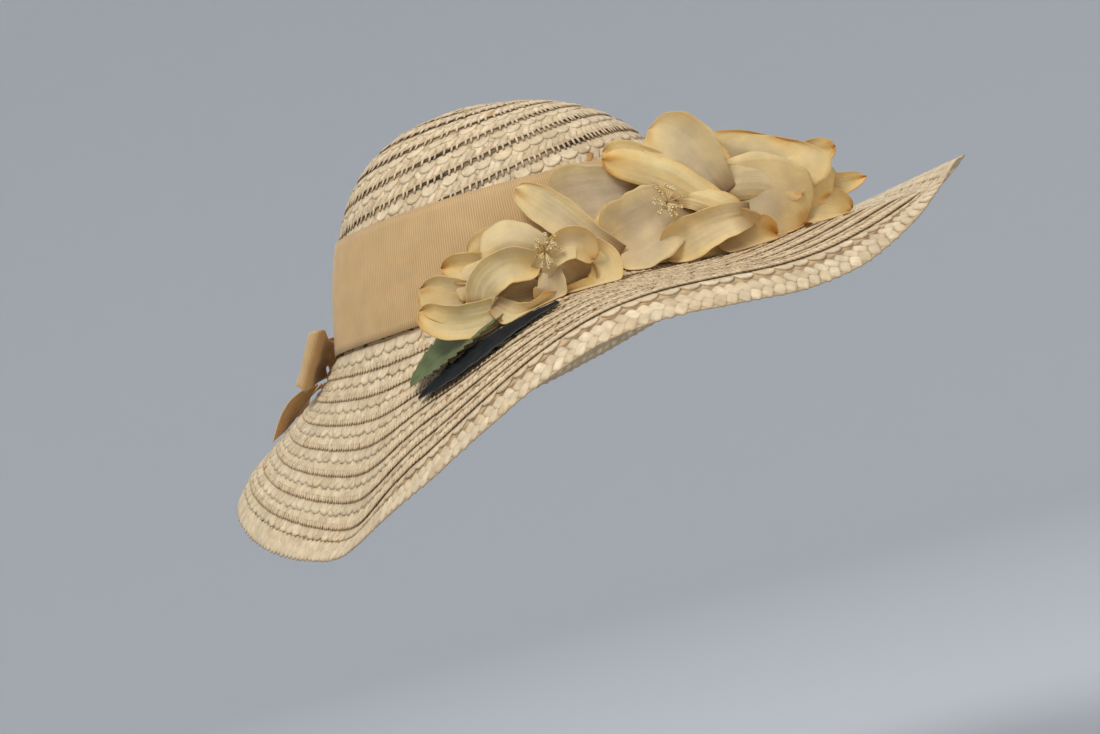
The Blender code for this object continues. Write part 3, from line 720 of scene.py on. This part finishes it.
def petal(name, centre, spine, width, bend=0.5, tip=0.0, twist=0.0, curl=0.0, tone=0.5, rim=1.0, ruffle=0.7,
          hollow=0.22, seed=0):
    """A cloth petal along a spine of (right, up, towards the viewer) points in mm from the flower's centre.

    bend curls its sides towards the viewer (negative: away), in radians at the edge; curl lifts its far
    end; twist turns it about its spine in degrees; tone runs from grey (0) to golden (1); tip 1 is pointed;
    hollow is the share of its length, from the root, that is painted dark brown as shade.
    """
    rng = np.random.default_rng(1000 + seed)
    along, across = 40, 27
    line = smooth(spine, along)
    s = np.linspace(0, 1, along)[:, None]
    x = np.linspace(-1, 1, across)[None]
    tangent = np.gradient(line, axis=0)
    tangent /= np.linalg.norm(tangent, axis=-1, keepdims=True)
    turn = np.radians(twist) * (1 - 0.4 * s)
    out = np.array([0.0, 0.0, 1.0]) - tangent * tangent[:, 2:]
    out /= np.maximum(np.linalg.norm(out, axis=-1, keepdims=True), 1e-6)
    side = np.cross(out, tangent)
    out, side = out * np.cos(turn) - side * np.sin(turn), side * np.cos(turn) + out * np.sin(turn)
    end = np.sqrt(np.clip(1 - (np.clip(s - 0.68, 0, 1) / 0.32) ** 2.2, 0, 1))
    rounded = np.sin(np.pi * (0.14 + 0.42 * s)) ** 0.9 * (0.04 + 0.96 * end)
    pointed = np.clip(0.35 + 1.9 * s, 0, 1) * np.clip(1.12 * (1 - s), 0, 1) ** 0.75
    half = FULLNESS * width / 2 * (rounded * (1 - tip) + pointed * tip + 0.01)
    ripple = 1 + 0.06 * np.sin(9 * s + seed) * np.abs(x) ** 3 + 0.02 * np.sin(31 * s + seed) * np.abs(x) ** 6
    angle = bend * x * (0.5 + 0.5 * s) + 1e-4
    wide = x * half * np.sin(angle) / angle * ripple
    high = np.sign(bend) * np.abs(x * half * (1 - np.cos(angle)) / np.maximum(np.abs(angle), 1e-3))
    phase = rng.uniform(0, 6.28, 5)
    edge = np.abs(x) ** 2.5
    wave = ruffle * edge * np.sin(6 * s + phase[0] + 1.5 * np.sign(x))
    wave = wave + 0.5 * ruffle * edge * np.sin(14 * s + phase[1] - np.sign(x))
    wave = wave + ruffle * 0.9 * s**3 * np.sin(4.5 * x + phase[2])
    wave = wave + 0.45 * ruffle * np.sin(4 * s + 3.5 * x + phase[4])
    crease = -0.5 * np.exp(-((x / 0.10) ** 2)) * (1 - s)
    vein = 0.07 * np.sin(24 * x + 3 * s) * np.sin(np.pi * s)
    high = high + wave + crease + vein + curl * s**3
    points = line[:, None] + side[:, None] * wide[..., None] + out[:, None] * high[..., None]
    near_rim = np.maximum(np.abs(x) ** 2.6 * (0.4 + 0.6 * s), np.clip((s - 0.60) / 0.40, 0, 1) ** 1.4)
    patch = 0.12 * np.sin(5 * x + 4 * s + phase[3]) + 0.08 * np.sin(13 * s - 6 * x + phase[0])
    near_rim = np.clip(near_rim + patch + rng.normal(0, 0.015, near_rim.shape), 0, 1)
    tint = blend(GREY, CREAM, np.clip(tone * 1.3 + 0.55 * near_rim, 0, 1))
    golden = blend(CREAM, YELLOW, np.clip(tone * 1.2, 0, 1))
    share = np.clip(near_rim * (0.80 + 0.35 * tone) * rim, 0, 1)[..., None]
    tint = tint * (1 - share) + golden * share
    hot = np.clip((near_rim - 0.72) / 0.28, 0, 1)[..., None] * rim * (0.45 + 0.55 * tone)
    hot = np.clip(hot, 0, 1)
    tint = tint * (1 - hot) + np.asarray(ORANGE) * hot
    # Painted shade: dark brown from the root out over the hollow share, where the flower's heart lies in
    # shadow.
    root = np.clip(1 - s / hollow, 0, 1)[..., None] ** 0.8 * 0.85
    tint = tint * (1 - root) + np.asarray(HOLLOW_SHADE) * root
    grain = np.stack([x * 12 + 0 * s, s * 2.2 + 0 * x, 0 * x * s + seed], -1).reshape(-1, 3)
    world = rest_on_brim(in_spray(centre, points.reshape(-1, 3)))
    faces = grid(across, along).tolist()
    obj = mesh(name, world, faces, PETAL, tint.reshape(-1, 3), grain, thick=0.32)
    size, area = cut_size(obj)
    return obj


REAR, MIDDLE, FRONT = (-86, -55, 27), (-46, -100, 30), (-20, -128, 38)

# Petals with a hollow of 0.9 or more are dark brown over most of their length: painted shade, dark cloth
# filling the flowers' hollows.
REAR_PETALS = [
    dict(spine=[(-12, -36, 6), (-30, -44, 11), (-46, -46, 12), (-59, -41, 10)], width=15, bend=1.2, tone=0.6),
    dict(spine=[(-10, -28, 2), (-28, -35, 5), (-44, -36, 7), (-59, -31, 7)], width=18, bend=0.8, tone=0.45),
    dict(spine=[(-12, -21, 5), (-24, -23, 8), (-33, -28, 9), (-38, -37, 8)], width=15, bend=-0.8, tone=0.25),
    dict(spine=[(-10, -17, 2), (-24, -19, 5), (-37, -21, 6), (-49, -21, 4)], width=12, bend=1.0, tone=1.0),
    dict(spine=[(2, -17, 5), (-8, -12, 9), (-18, -12, 10), (-28, -20, 8)], width=21, bend=-0.9, tone=0.3),
    dict(spine=[(0, -9, 2), (-12, -7, 3), (-26, -10, 3), (-36, -16, 2)], width=13, bend=0.5, tone=0.5),
    dict(spine=[(-31, -43, 8), (-29, -29, 13), (-18, -20, 15), (-3, -20, 12)], width=15, bend=1.1, tone=0.5),
    dict(spine=[(-3, -24, 5), (-12, -28, 7), (-20, -30, 7), (-26, -34, 6)],
         width=17, bend=1.2, tone=1.0, hollow=1.6),
    dict(spine=[(-25, -37, 10), (-14, -43, 13), (-2, -42, 13), (7, -34, 10)], width=13, bend=1.1, tone=0.6),
    dict(spine=[(0, -18, 9), (2, -25, 13), (2, -32, 13), (-3, -38, 11)], width=12, bend=0.9, tone=0.2),
    dict(spine=[(-5, -26, 10), (3, -14, 15), (14, -9, 15), (22, -17, 12)], width=13, bend=1.3, tone=0.45),
    dict(spine=[(2, -16, 4), (9, -20, 7), (14, -24, 7), (17, -30, 5)],
         width=17, bend=1.2, tone=1.0, hollow=1.6),
    dict(spine=[(18, -8, 6), (28, -17, 10), (25, -31, 11), (6, -37, 9)],
         width=14, bend=1.1, twist=20, tone=0.75),
    dict(spine=[(-32, -44, 5), (-14, -46, 8), (2, -43, 9), (16, -33, 7)], width=13, bend=0.9, tone=0.6),
]

MIDDLE_PETALS = [
    dict(spine=[(30, -2, 3), (19, 10, 7), (8, 21, 8), (-6, 29, 5)], width=24, bend=0.6, tone=0.25),
    dict(spine=[(32, 0, -3), (26, 9, -1), (20, 17, -1), (13, 24, -2)], width=17, bend=0.5, tone=0.75),
    dict(spine=[(38, -12, 7), (18, -2, 11), (0, 8, 12), (-28, 15, 8)], width=14, bend=-0.8, tone=1.0),
    dict(spine=[(12, 4, 4), (0, 11, 7), (-12, 15, 7), (-28, 18, 4)], width=12, bend=0.6, tone=0.6),
    dict(spine=[(-8, 0, 0), (-22, -2, 4), (-37, -5, 4), (-53, -9, 0)], width=28, bend=0.5, tone=0.05),
    dict(spine=[(-6, -2, 6), (-12, -9, 10), (-20, -16, 10), (-33, -20, 6)], width=18, bend=-0.8, tone=0.85),
    dict(spine=[(-19, -30, 12), (-34, -22, 15), (-50, -11, 14), (-69, 1, 9)], width=14, bend=0.7, tone=0.3),
    dict(spine=[(-16, -33, 8), (-28, -28, 12), (-40, -21, 12), (-49, -12, 9)], width=12, bend=0.8, tone=0.5),
    dict(spine=[(9, -3, 7), (-1, -12, 12), (-12, -20, 13), (-25, -27, 9)],
         width=30, bend=0.5, tone=0.1, rim=1.3),
    dict(spine=[(12, -8, 4), (12, -18, 8), (4, -27, 9), (-8, -33, 6)], width=22, bend=-0.6, tone=0.7),
    dict(spine=[(42, -11, 10), (28, -15, 14), (14, -22, 14), (1, -31, 10)], width=17, bend=0.9, tone=0.45),
    dict(spine=[(6, -3, 8), (16, -4, 12), (28, -8, 12), (40, -14, 9)], width=12, bend=-0.9, tone=0.95),
    dict(spine=[(2, -20, 2), (-8, -28, 4), (-18, -32, 4), (-30, -31, 0)], width=15, bend=0.8, tone=0.9),
    dict(spine=[(8, -20, 2), (18, -28, 5), (29, -30, 5), (40, -25, 2)], width=16, bend=0.8, tone=0.85),
    dict(spine=[(26, -12, 6), (35, -19, 9), (45, -23, 9), (55, -21, 6)],
         width=22, bend=1.2, tone=1.0, hollow=0.9),
]

FRONT_PETALS = [
    dict(spine=[(14, -16, 4), (16, -8, 8), (19, 1, 9), (21, 11, 6)], width=44, bend=0.4, tone=0.4, rim=1.3),
    dict(spine=[(-13, -21, 9), (3, -20, 15), (20, -24, 16), (37, -32, 11)],
         width=36, bend=0.35, tone=0.2, rim=1.5,
         curl=-2),
    dict(spine=[(-13, -20, 13), (1, -11, 18), (18, -9, 18), (35, -18, 15)], width=19, bend=-0.9, tone=0.35),
    dict(spine=[(20, -11, 8), (30, -10, 11), (40, -12, 11), (49, -17, 8)], width=20, bend=-0.5, tone=0.6),
    dict(spine=[(20, -6, 0), (32, -2, 1), (42, 3, 1), (52, 7, 0)], width=16, bend=0.7, tip=0.55, tone=0.95),
    dict(spine=[(28, -15, 1), (42, -15, 4), (54, -12, 4), (67, -8, 1)],
         width=15, bend=0.9, tip=0.8, tone=1.0),
    dict(spine=[(24, -19, 3), (38, -22, 6), (50, -23, 6), (60, -24, 3)],
         width=17, bend=0.8, tip=0.3, tone=0.7),
    dict(spine=[(4, -26, 3), (18, -34, 6), (30, -38, 5), (42, -34, 1)], width=17, bend=0.7, tone=0.95),
    dict(spine=[(-4, -4, 0), (-12, 3, 1), (-20, 8, 0), (-27, 11, -3)], width=17, bend=0.6, tone=0.7),
    dict(spine=[(0, -12, 2), (-10, -16, 3), (-20, -16, 2), (-30, -12, -1)], width=19, bend=0.6, tone=0.5),
]


def ball(radius, n=8):
    """A small round bead as points and faces."""
    rings = [(np.sin(p) * radius, np.cos(p) * radius) for p in np.linspace(0, np.pi, n // 2 + 2)[1:-1]]
    a = np.linspace(0, 2 * np.pi, n, endpoint=False)
    middle = [(r * np.cos(k), r * np.sin(k), z) for r, z in rings for k in a]
    points = [(0, 0, radius)] + middle + [(0, 0, -radius)]
    faces = [[0, 1 + i, 1 + (i + 1) % n] for i in range(n)]
    faces += (grid(n, len(rings), closed=True) + 1).tolist()
    end = len(points) - 1
    first = end - n
    faces += [[end, first + (i + 1) % n, first + i] for i in range(n)]
    return np.array(points), faces


def stamens(name, node, centre, heart, count, reach, seed):
    """Bead-tipped threads that spring from the flower's heart."""
    rng = np.random.default_rng(seed)
    bead, bead_faces = ball(1.0)
    points, faces, tints = [], [], []
    total = 0
    for _ in range(count):
        a, out = rng.uniform(0, 2 * np.pi), rng.uniform(0.25, 1.0)
        tip = np.array([np.cos(a) * out * reach, np.sin(a) * out * reach, rng.uniform(4, 8)])
        line = smooth([(0, 0, -3), tip * (0.35, 0.35, 0.75), tip], 7)
        n = 5
        k = np.linspace(0, 2 * np.pi, n, endpoint=False)
        ring = np.stack([np.cos(k), np.sin(k), 0 * k], -1) * 0.24
        tube = (line[:, None] + ring[None]).reshape(-1, 3)
        local = [tube + heart, bead * (0.95 + 0.25 * rng.random()) * (1, 1, 1.35) + tip + heart]
        ends = [list(range(n))[::-1], [6 * n + q for q in range(n)]]
        for part, face in zip(local, (grid(n, 7, closed=True).tolist() + ends, bead_faces)):
            faces += [[q + total for q in f] for f in face]
            points.append(in_spray(centre, part))
            bead_tint = blend(BEAD_YELLOW, BEAD_CREAM, rng.random())
            tints.append(np.broadcast_to(bead_tint, part.shape))
            total += len(part)
    obj = mesh(name, np.concatenate(points), faces, BEAD, np.concatenate(tints))
    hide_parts(node)


def flower(which, centre, petals, heart, seed):
    """One flower: each cloth petal stands for one of the frame's, and the extra ones are its inner petals."""
    nodes = sorted(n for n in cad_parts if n.startswith(f"{which}_flower_petal_"))
    for i, spec in enumerate(petals):
        obj = petal(f"{which}_cloth_petal_{i + 1:02d}", centre, seed=seed + i, **spec)
        if i < len(nodes):
            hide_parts(nodes[i])
    stamens(f"{which}_stamen_cluster", f"{which}_flower_stamens", centre, heart, 26, 8.5, seed)


flower("rear", REAR, REAR_PETALS, (-1, -13, 13), 11)
flower("middle", MIDDLE, MIDDLE_PETALS, (2, -6, 14), 41)
flower("front", FRONT, FRONT_PETALS, (-3, -5, 8), 71)


# ---------------------------------------------------------------- leaves

def leaf(name, node, path, width, lift, mat, colours, teeth, arch):
    """A cloth leaf lying over the brim, with a sunk midrib, side veins and a toothed edge."""
    (t0, v0), (t1, v1) = path
    along, across = 97, 25
    s = np.linspace(0, 1, along)[:, None]
    x = np.linspace(-1, 1, across)[None]
    mid_t, mid_v = np.radians((t0 + t1) / 2), (v0 + v1) / 2
    round_brim = float(BRIM.look(BRIM.long, np.array([mid_t]), np.array([mid_v]))[0, 0])
    per = np.array([round_brim * np.radians(1), BRIM_MEAN])
    run = np.array([t1 - t0, v1 - v0])
    d = run * per
    side = np.array([-d[1], d[0]]) / np.linalg.norm(d) / per
    half = width / 2 * np.maximum(0.05, np.sin(np.pi * np.clip(0.05 + 0.93 * s, 0, 0.985)) ** 0.8)
    saw = 1 - teeth * np.mod(s * 13, 1.0)
    reach = half * (1 - (1 - saw) * np.abs(x) ** 3)
    q = np.array([t0, v0]) + run * s[..., None] + side * (reach * x)[..., None]
    vein = 0.5 * np.abs(np.sin(np.pi * (s * 6.5 - 0.55 * np.abs(x))))
    midrib = 0.5 * np.exp(-((x / 0.06) ** 2))
    h = lift + arch * (np.abs(x) ** 1.5) * half / 8 + vein * 0.5 - midrib + 1.2 * s**2
    points = BRIM.at(np.radians(q[..., 0]), q[..., 1], h).reshape(-1, 3)
    rib = np.exp(-((x / 0.05) ** 2)) + 0.4 * (vein < 0.10)
    low, high, edge = (np.asarray(c) for c in colours)
    tint = low * (1 - vein[..., None]) + high * vein[..., None]
    rib = np.clip(rib, 0, 1)[..., None] * 0.5
    tint = tint * (1 - rib) + high * 1.25 * rib
    rim = (np.abs(x) ** 14 * np.ones_like(s))[..., None] * 0.7
    tint = tint * (1 - rim) + edge * rim
    grain = np.stack([x * 10 + 0 * s, s * 30 + 0 * x, 0 * x * s], -1).reshape(-1, 3)
    faces = grid(across, along)[:, ::-1].tolist()
    obj = mesh(name, points, faces, mat, tint.reshape(-1, 3), grain, thick=0.35)
    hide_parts(node)
    size, area = cut_size(obj)


leaf("leaf_green", "green_leaf", ((285, 0.16), (262.5, 0.36)), 34, 4.2, LEAF,
     ((0.060, 0.085, 0.016), (0.125, 0.155, 0.040), (0.17, 0.18, 0.06)), 0.20, 1.2)
leaf("leaf_velvet", "dark_leaf", ((297, 0.34), (266, 0.46)), 22, 2.4, VELVET,
     ((0.008, 0.009, 0.009), (0.020, 0.021, 0.022), (0.10, 0.10, 0.10)), 0.10, 0.4)


# ---------------------------------------------------------------- stems

def wrapped_stem(name, node, centres, radius, flare=0.0):
    """A paper-wrapped wire behind the petals, ridged by its wrapping; flare swells it into a calyx."""
    line = smooth(centres, 60)
    n = 16
    k = np.linspace(0, 2 * np.pi, n, endpoint=False)
    tangent = np.gradient(line, axis=0)
    tangent /= np.linalg.norm(tangent, axis=-1, keepdims=True)
    a = np.cross(tangent, (0.3, 0.2, 0.93))
    a /= np.linalg.norm(a, axis=-1, keepdims=True)
    b = np.cross(tangent, a)
    s = np.linspace(0, 1, len(line))[:, None]
    size = radius * (1 + 0.10 * np.sin(k[None] + 60 * s)) + flare * np.clip(s - 0.35, 0, 1) ** 1.3
    ring = a[:, None] * np.cos(k)[:, None] + b[:, None] * np.sin(k)[:, None]
    points = line[:, None] + size[..., None] * ring
    faces = grid(n, len(line), closed=True)[:, ::-1].tolist()
    last = (len(line) - 1) * n
    faces += [list(range(n)), [last + i for i in range(n)][::-1]]
    obj = mesh(name, points.reshape(-1, 3), faces, WRAP)
    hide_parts(node)


STEM_RADIUS, CALYX_FLARE = 1.1, 4.0
HEARTS = {"rear": (REAR, (0, -20, 0)), "middle": (MIDDLE, (4, -6, 0)), "front": (FRONT, (4, -12, 0))}
for which, (centre, heart) in HEARTS.items():
    ends = [in_spray(centre, np.array(heart) + (0, 0, z)) for z in (-12, -8, -4, 0)]
    wrapped_stem(f"{which}_calyx_cup", f"{which}_flower_calyx", ends, STEM_RADIUS, CALYX_FLARE)
rests = [in_spray(c, np.array(h) + (0, 0, -11)) for c, h in HEARTS.values()]
between = (rests[0] + rests[1]) / 2 + FACE * 2
wrapped_stem("spray_wire", "spray_stem", [rests[0], between, rests[1], rests[2]], STEM_RADIUS)


# ---------------------------------------------------------------- studio

def studio():
    """A plain pale bowl: flat floor below the hat that curves up into a low wall all round."""
    floor_z, flat, bend, high = -330.0, 2400.0, 1400.0, 2600.0
    n = 96
    t = np.linspace(0, 2 * np.pi, n, endpoint=False)
    profile = [(r, floor_z) for r in (300, 900, 1600, flat)]
    for a in np.linspace(0, np.pi / 2, 14)[1:]:
        profile.append((flat + bend * np.sin(a), floor_z + bend * (1 - np.cos(a))))
    profile.append((flat + bend, floor_z + high))
    rows = [np.stack([r * np.cos(t), r * np.sin(t), np.full(n, z)], -1) for r, z in profile]
    points = np.concatenate([*rows, [[0, 0, floor_z]]]) * MM
    faces = grid(n, len(rows), closed=True)[:, ::-1].tolist()
    faces += [[i, (i + 1) % n, len(points) - 1] for i in range(n)]
    data = bpy.data.meshes.new("studio_floor")
    data.from_pydata(points.tolist(), [], faces)
    data.polygons.foreach_set("use_smooth", np.full(len(data.polygons), True))
    obj = bpy.data.objects.new("studio_floor", data)
    bpy.context.scene.collection.objects.link(obj)
    mat = bpy.data.materials.new("studio_paper")
    mat.use_nodes = True
    shader = mat.node_tree.nodes["Principled BSDF"]
    shader.inputs["Base Color"].default_value = (0.62, 0.64, 0.66, 1)
    shader.inputs["Roughness"].default_value = 0.9
    shader.inputs["Specular IOR Level"].default_value = 0.1
    data.materials.append(mat)


def area_light(name, place, size, power):
    light = bpy.data.lights.new(name, "AREA")
    light.shape, light.size, light.energy = "SQUARE", size, power
    obj = bpy.data.objects.new(name, light)
    bpy.context.scene.collection.objects.link(obj)
    obj.location = place
    obj.rotation_mode = "QUATERNION"
    obj.rotation_quaternion = (-Vector(place)).to_track_quat("-Z", "Y")


def lights():
    key = RIGHT * -0.9 + UP * 1.5 + FACE * 1.3
    fill = RIGHT * 1.6 + UP * 0.5 + FACE * 1.4
    back = RIGHT * -0.4 + UP * 1.4 - FACE * 1.5
    area_light("key_light", tuple(key), 0.8, 26.0)
    area_light("fill_light", tuple(fill), 1.4, 6.0)
    area_light("back_light", tuple(back), 1.4, 2.5)
    world = bpy.data.worlds.new("studio")
    world.use_nodes = True
    world.node_tree.nodes["Background"].inputs["Color"].default_value = (0.92, 0.95, 1.0, 1)
    world.node_tree.nodes["Background"].inputs["Strength"].default_value = 0.68
    bpy.context.scene.world = world


CAMERA_LENS, SENSOR = 77.4, 36.0
CAMERA_SHIFT, CAMERA_AWAY = (0.0229, -0.0573), 1.2      # share of the frame; metres


def camera():
    """Level with the brim at the wearer's right, a little behind square, as a long lens sees it."""
    data = bpy.data.cameras.new("camera")
    data.lens, data.sensor_width = CAMERA_LENS, SENSOR
    data.shift_x, data.shift_y = CAMERA_SHIFT
    data.clip_end = 20.0
    obj = bpy.data.objects.new("camera", data)
    bpy.context.scene.collection.objects.link(obj)
    columns = np.stack([RIGHT, UP, FACE, FACE * CAMERA_AWAY], 1)
    obj.matrix_world = Matrix([*map(tuple, columns), (0, 0, 0, 1)])
    bpy.context.scene.camera = obj
    bpy.context.scene.view_settings.view_transform = "Standard"


studio()
lights()
camera()
